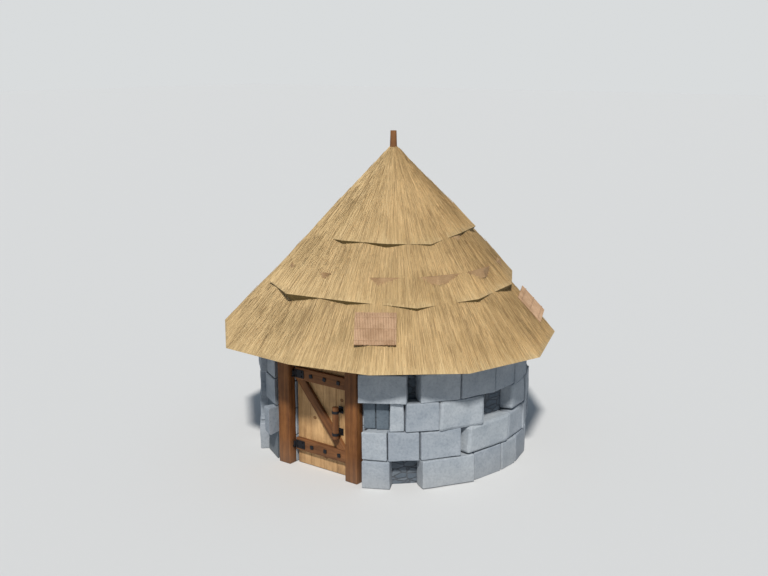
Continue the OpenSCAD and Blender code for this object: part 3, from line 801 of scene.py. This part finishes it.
def straw_coat(name, tier, above, count, stem_l, seed):
    """Combs loose stems over the outer faces of a tier, butts down, each aimed at the top of its own face."""
    faces = bmesh.new()
    faces.from_mesh(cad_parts[tier].data)
    bmesh.ops.remove_doubles(faces, verts=faces.verts, dist=0.0001)
    faces.normal_update()
    hidden = [f for f in faces.faces if not 0.3 < f.normal.z < 0.95]
    bmesh.ops.delete(faces, geom=hidden, context="FACES")
    area = sum(f.calc_area() for f in faces.faces)
    mesh = bpy.data.meshes.new(name)
    faces.to_mesh(mesh)
    faces.free()
    coat = bpy.data.objects.new(name, mesh)
    bpy.context.scene.collection.objects.link(coat)
    tree = bpy.data.node_groups.new(name, "GeometryNodeTree")
    tree.interface.new_socket("Geometry", in_out="INPUT", socket_type="NodeSocketGeometry")
    tree.interface.new_socket("Geometry", in_out="OUTPUT", socket_type="NodeSocketGeometry")
    nodes, links = tree.nodes, tree.links
    entry = nodes.new("NodeGroupInput")
    leave = nodes.new("NodeGroupOutput")
    spread = nodes.new("GeometryNodeDistributePointsOnFaces")
    spread.inputs["Density"].default_value = count / area
    spread.inputs["Seed"].default_value = seed
    links.new(entry.outputs[0], spread.inputs["Mesh"])
    position = nodes.new("GeometryNodeInputPosition").outputs[0]
    kept = nodes.new("GeometryNodeCaptureAttribute")
    kept.capture_items.new("VECTOR", "Facing")
    links.new(spread.outputs["Points"], kept.inputs["Geometry"])
    links.new(spread.outputs["Normal"], kept.inputs["Facing"])
    facing = kept.outputs["Facing"]
    # Each stem is aimed at the point where the plane of its face meets the roof's axis.
    apart = nodes.new("ShaderNodeSeparateXYZ")
    links.new(facing, apart.inputs[0])
    dot = vector_node(nodes, links, "DOT_PRODUCT", position, facing)["Value"]
    top = nodes.new("ShaderNodeCombineXYZ")
    links.new(math_node(nodes, links, "DIVIDE", dot, apart.outputs["Z"]), top.inputs["Z"])
    up = vector_node(nodes, links, "SUBTRACT", top.outputs[0], position)["Vector"]
    reach = vector_node(nodes, links, "LENGTH", up)["Value"]
    straight = vector_node(nodes, links, "NORMALIZE", up)["Vector"]
    stray = random_node(nodes, "FLOAT_VECTOR", seed + 1, (-0.05, -0.05, -0.02), (0.05, 0.05, 0.03))
    turned = nodes.new("FunctionNodeAlignRotationToVector")
    turned.axis = "Z"
    links.new(vector_node(nodes, links, "ADD", straight, stray)["Vector"], turned.inputs["Vector"])
    size = random_node(nodes, "FLOAT", seed + 2, 0.6, 1.25)
    long = math_node(nodes, links, "MULTIPLY", size, stem_l)
    short = math_node(nodes, links, "MULTIPLY", reach, 0.8)
    sized = nodes.new("ShaderNodeCombineXYZ")
    links.new(size, sized.inputs["X"])
    links.new(size, sized.inputs["Y"])
    links.new(math_node(nodes, links, "MINIMUM", long, short), sized.inputs["Z"])
    source = nodes.new("GeometryNodeObjectInfo")
    source.inputs["Object"].default_value = stem
    place = nodes.new("GeometryNodeInstanceOnPoints")
    links.new(kept.outputs["Geometry"], place.inputs["Points"])
    if above:
        cover = nodes.new("GeometryNodeObjectInfo")
        cover.inputs["Object"].default_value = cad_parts[above]
        upward = nodes.new("GeometryNodeRaycast")
        upward.inputs["Ray Direction"].default_value = (0, 0, 1)
        upward.inputs["Ray Length"].default_value = 2.0
        links.new(cover.outputs["Geometry"], upward.inputs["Target Geometry"])
        open_above = math_node(nodes, links, "SUBTRACT", 1.0, upward.outputs["Is Hit"])
        links.new(open_above, place.inputs["Selection"])
    links.new(source.outputs["Geometry"], place.inputs["Instance"])
    links.new(turned.outputs["Rotation"], place.inputs["Rotation"])
    links.new(sized.outputs[0], place.inputs["Scale"])
    tone = random_node(nodes, "FLOAT", seed + 3, 0.0, 1.0)
    store = nodes.new("GeometryNodeStoreNamedAttribute")
    store.domain = "INSTANCE"
    store.data_type = "FLOAT"
    store.inputs["Name"].default_value = "tone"
    links.new(place.outputs["Instances"], store.inputs["Geometry"])
    links.new(tone, store.inputs["Value"])
    real = nodes.new("GeometryNodeRealizeInstances")
    links.new(store.outputs["Geometry"], real.inputs["Geometry"])
    links.new(real.outputs["Geometry"], leave.inputs[0])
    combed = coat.modifiers.new("combed", "NODES")
    combed.node_group = tree
    ready = bpy.data.meshes.new_from_object(coat.evaluated_get(bpy.context.evaluated_depsgraph_get()))
    coat.modifiers.clear()
    coat.data = ready
    coat.data.materials.clear()
    coat.data.materials.append(loose_straw)
    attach(coat, "hut")


straw_coat("straw_bottom", "thatch_bottom", "thatch_middle", 23000, 0.42, 11)
straw_coat("straw_middle", "thatch_middle", "thatch_top", 20000, 0.38, 21)
straw_coat("straw_top", "thatch_top", None, 12000, 0.36, 31)

# Ties and mats: reed bands tied round the upper tiers, whose turns show between the corners, and two reed
# mats pinned over ridges of the bottom tier where it wore through.

def reed_material(name, dull, fresh):
    """Split reed between two shades, browner where it is stained."""
    material, nodes, links, shader = new_material(name, 0.75, specular=0.25)
    worn = weather(nodes, links, 5, 90)
    body = ramp_node(nodes, links, worn["Stain"], (0.35, dull), (0.62, fresh))
    links.new(mix_node(nodes, links, "MULTIPLY", 0.6, body,
                       ramp_node(nodes, links, worn["Mottle"], (0.35, (0.6, 0.57, 0.54)), (0.6, (1, 1, 1)))),
              shader.inputs["Base Color"])
    bump_node(nodes, links, worn["Mottle"], 0.006, shader)
    return material


mat_reed = reed_material("mat_reed", (0.43, 0.270, 0.160), (0.58, 0.385, 0.245))
tie_reed = reed_material("tie_reed", (0.32, 0.197, 0.098), (0.43, 0.280, 0.150))
dress(tie_reed, "binding_lower", "binding_upper")

# One more turn of the lower tie shows at the left of the front.
tie_bearing = 1.5
tie_r = 1.766
tie_z = 3.196
tie_l = 0.18
tie_reeds = 4
tie_reed_r = (0.016, 0.011)
tie_step_out = 0.016
tie_step_down = 0.018
tie_step_short = 0.04
bm = bmesh.new()
for i in range(tie_reeds):
    place = Matrix.Translation(spot(tie_bearing, tie_r + tie_step_out * i, tie_z - tie_step_down * i))
    place = place @ Matrix.Rotation(math.radians(tie_bearing + 4), 4, "Z")
    place = place @ Matrix.Rotation(0.04 * (i - 1.5), 4, "Y")
    pole(bm, tie_l - tie_step_short * i, tie_reed_r, place, rng, 8, 0.004, 6)
finish_piece(bm, "tie_end", tie_reed, "hut", "matting", smooth_under=50)

mat_w = 0.62
mat_l = 0.56
reed_n = 26
reed_sunk = 0.004
lash_r = 0.008
lash_ys = (-0.2, 0.0, 0.2)
lash_proud = 0.009
mat_hem = 0.012
mats = (("mat_front", "patch_front", 36, 1.030, 0), ("mat_side", "patch_side", 120, 1.088, -8))
for name, node, bearing, fall, roll in mats:
    low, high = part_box(node)
    middle = (low + high) / 2
    bm = bmesh.new()
    base = Matrix.Translation(middle) @ Matrix.Rotation(math.radians(bearing), 4, "Z")
    base = base @ Matrix.Rotation(math.atan(fall), 4, "X") @ Matrix.Rotation(math.radians(roll), 4, "Y")
    step = mat_w / reed_n
    for i in range(reed_n):
        x = -mat_w / 2 + (i + 0.5) * step
        place = base @ Matrix.Translation((x, rng.uniform(-0.004, 0.004), -reed_sunk))
        place = place @ Matrix.Rotation(math.radians(90), 4, "Z")
        pole(bm, mat_l - mat_hem, (step * 0.53, step * 0.49), place, rng, 8, 0.0015, 4)
    for y in lash_ys:
        place = base @ Matrix.Translation((0, y, lash_proud))
        pole(bm, mat_w, (lash_r, lash_r), place, rng, 8, 0.001, 20)
    finish_piece(bm, name, mat_reed, "hut", "matting", node, smooth_under=50)

# Finial: the top of the centre pole, a peeled trunk that stands clear of the thatch. It is straight where
# the roof hides it, and the stub in sight tapers a little.
pole_wood = wood_material("pole_wood", (0.26, 0.115, 0.042), (0.13, 0.054, 0.019), 1.2, 0.004)
low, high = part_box("finial_pole")
stub_h = 0.28
trunk_r = 0.0598
tip_radii = (0.0595, 0.050)
stub_sunk = 0.01
shoulder_z = high.z - stub_h
stub_z = (high.z + shoulder_z - stub_sunk) / 2
bm = bmesh.new()
pole(bm, shoulder_z - low.z, (trunk_r, trunk_r), upright(0, 0, (low.z + shoulder_z) / 2), rng, 20, 0.0, 4)
pole(bm, stub_h + stub_sunk, tip_radii, upright(0, 0, stub_z), rng, 20, 0.003, 4)
finish_piece(bm, "centre_pole", pole_wood, "hut", "pole_timber", "finial_pole", smooth_under=45)

# Door leaf: four planed boards side by side, with three knots in sight. Two thick ledges and a diagonal
# brace, all sawn from a redder wood, hold them together on their front.
board_wood = wood_material("board_wood", (0.69, 0.435, 0.207), (0.49, 0.290, 0.131), 0.9, 0.0018, 0.12)
ledge_wood = wood_material("ledge_wood", (0.27, 0.115, 0.040), (0.145, 0.058, 0.021), 1.0, 0.003, 0.1)
knots = ((-0.178, 0.834), (0.385, 1.235), (0.05, 0.22))
knot_w = 0.038
knot_h = 0.030
nodes, links = board_wood.node_tree.nodes, board_wood.node_tree.links
shader = nodes["Principled BSDF"]
painted = shader.inputs["Base Color"].links[0].from_socket
apart = nodes.new("ShaderNodeSeparateXYZ")
links.new(nodes.new("ShaderNodeTexCoord").outputs["Object"], apart.inputs["Vector"])
for knot_x, knot_z in knots:
    reach = []
    for axis, middle, wide in (("X", knot_x, knot_w), ("Z", knot_z, knot_h)):
        off = math_node(nodes, links, "SUBTRACT", apart.outputs[axis], middle)
        reach.append(math_node(nodes, links, "POWER", math_node(nodes, links, "DIVIDE", off, wide), 2))
    far = math_node(nodes, links, "SQRT", math_node(nodes, links, "ADD", *reach))
    ring = ramp_node(nodes, links, far, (0.0, (0.30, 0.22, 0.16)), (0.35, (0.62, 0.51, 0.41)),
                     (0.62, (0.26, 0.19, 0.13)), (0.85, (0.48, 0.39, 0.31)), (1.0, (1, 1, 1)))
    painted = mix_node(nodes, links, "MULTIPLY", 1.0, painted, ring)
links.new(painted, shader.inputs["Base Color"])
low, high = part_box("door_boards")
board_n = 4
board_gap = 0.006
board_arris = 0.004
board_waver = 0.0012
board_cuts = 14
board_uneven = 0.005
board_w = (high.x - low.x - (board_n - 1) * board_gap) / board_n
bm = bmesh.new()
for i in range(board_n):
    x = low.x + i * (board_w + board_gap) + board_w / 2
    top = high.z - rng.uniform(0.0, board_uneven)
    place = upright(x, (low.y + high.y) / 2, (low.z + top) / 2)
    size = (top - low.z, high.y - low.y, board_w)
    timber(bm, size, place, rng, board_arris, board_waver, board_cuts)
finish_piece(bm, "leaf_boards", board_wood, "door", "boards", "door_boards", smooth_under=35)

ledge_arris = 0.009
ledge_waver = 0.003
brace_w = 0.15245
brace_spare = 0.3
run = 0.845
bm = bmesh.new()
for name in ("ledge_top", "ledge_bottom"):
    low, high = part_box(name)
    timber(bm, tuple(high - low), Matrix.Translation((low + high) / 2), rng, ledge_arris, ledge_waver)
low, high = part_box("brace")
fall = high.z - low.z
place = Matrix.Translation((low + high) / 2) @ Matrix.Rotation(math.atan2(fall, run), 4, "Y")
brace = bmesh.new()
size = (math.hypot(run, fall) + brace_spare, high.y - low.y, brace_w)
timber(brace, size, place, rng, ledge_arris, ledge_waver)
trim(brace, [((0, 0, high.z), (0, 0, 1)), ((0, 0, low.z), (0, 0, -1))])
add_part(bm, brace)
finish_piece(bm, "leaf_ledges", ledge_wood, "door", "door_timber", "ledge_top", "ledge_bottom", "brace",
             smooth_under=35)

# Ironwork: hinge plates and pins, pull lugs and square bolt heads, forged and blackened in oil. Three large
# bolts go through each ledge, and four small ones through each plate.
iron, nodes, links, shader = new_material("black_iron", 0.5, metallic=0.75, specular=0.5)
worn = weather(nodes, links, 9, 120)
oiled = ramp_node(nodes, links, worn["Mottle"], (0.35, (0.012, 0.013, 0.017)), (0.7, (0.035, 0.036, 0.042)))
links.new(oiled, shader.inputs["Base Color"])
links.new(range_node(nodes, links, worn["Mottle"], 0.0, 1.0, 0.42, 0.72), shader.inputs["Roughness"])
bump_node(nodes, links, worn["Mottle"], 0.002, shader)
dress(iron, "gudgeons", "strap_top", "strap_bottom", "pull_lugs")

bolt_w = 0.060
bolt_t = 0.016
bolt_arris = 0.004
bolt_xs = (-0.190, 0.090, 0.375)
bolt_sunk = 0.002
rivet_w = 0.022
rivet_xs = (-0.50, -0.385)
rivet_zs = (-0.036, 0.036)
plate_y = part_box("ledge_top")[0].y - 0.0103
bm = bmesh.new()
bolts = []
for name in ("ledge_top", "ledge_bottom"):
    low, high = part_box(name)
    bolts += [Vector((x, low.y, (low.z + high.z) / 2)) for x in bolt_xs]
for name in ("strap_top", "strap_bottom"):
    low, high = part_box(name)
    bolts += [Vector((x, plate_y, (low.z + high.z) / 2 + z)) for x in rivet_xs for z in rivet_zs]
for i, at in enumerate(bolts):
    wide = bolt_w if i < 2 * len(bolt_xs) else rivet_w
    part = bmesh.new()
    bmesh.ops.create_cube(part, size=1.0)
    bmesh.ops.scale(part, vec=(wide, bolt_t + 2 * bolt_sunk, wide), verts=part.verts)
    ease(part, part.edges[:], bolt_arris)
    place = Matrix.Translation(at - Vector((0, bolt_t / 2 - bolt_sunk, 0)))
    place = place @ Matrix.Rotation(rng.uniform(-0.3, 0.3), 4, "Y")
    bmesh.ops.transform(part, matrix=place, verts=part.verts)
    add_part(bm, part)
finish_piece(bm, "bolt_heads", iron, "door", "iron", smooth_under=35)

# Pull: a turned bar of the ledges' wood, with rounded ends, held upright in two iron lugs near the free
# edge of the leaf.
low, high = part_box("pull_bar")
pull_r = (high.x - low.x) / 2
pull_round = 0.008
bm = bmesh.new()
pole(bm, high.z - low.z, (pull_r, pull_r), upright(*(low + high) / 2), rng, 24, 0.0, 10)
rims = [e for e in bm.edges if len(e.link_faces) == 2 and e.calc_face_angle() > 1.0]
ease(bm, rims, pull_round, 3)
finish_piece(bm, "pull_grip", ledge_wood, "door", "door_timber", "pull_bar", smooth_under=40)
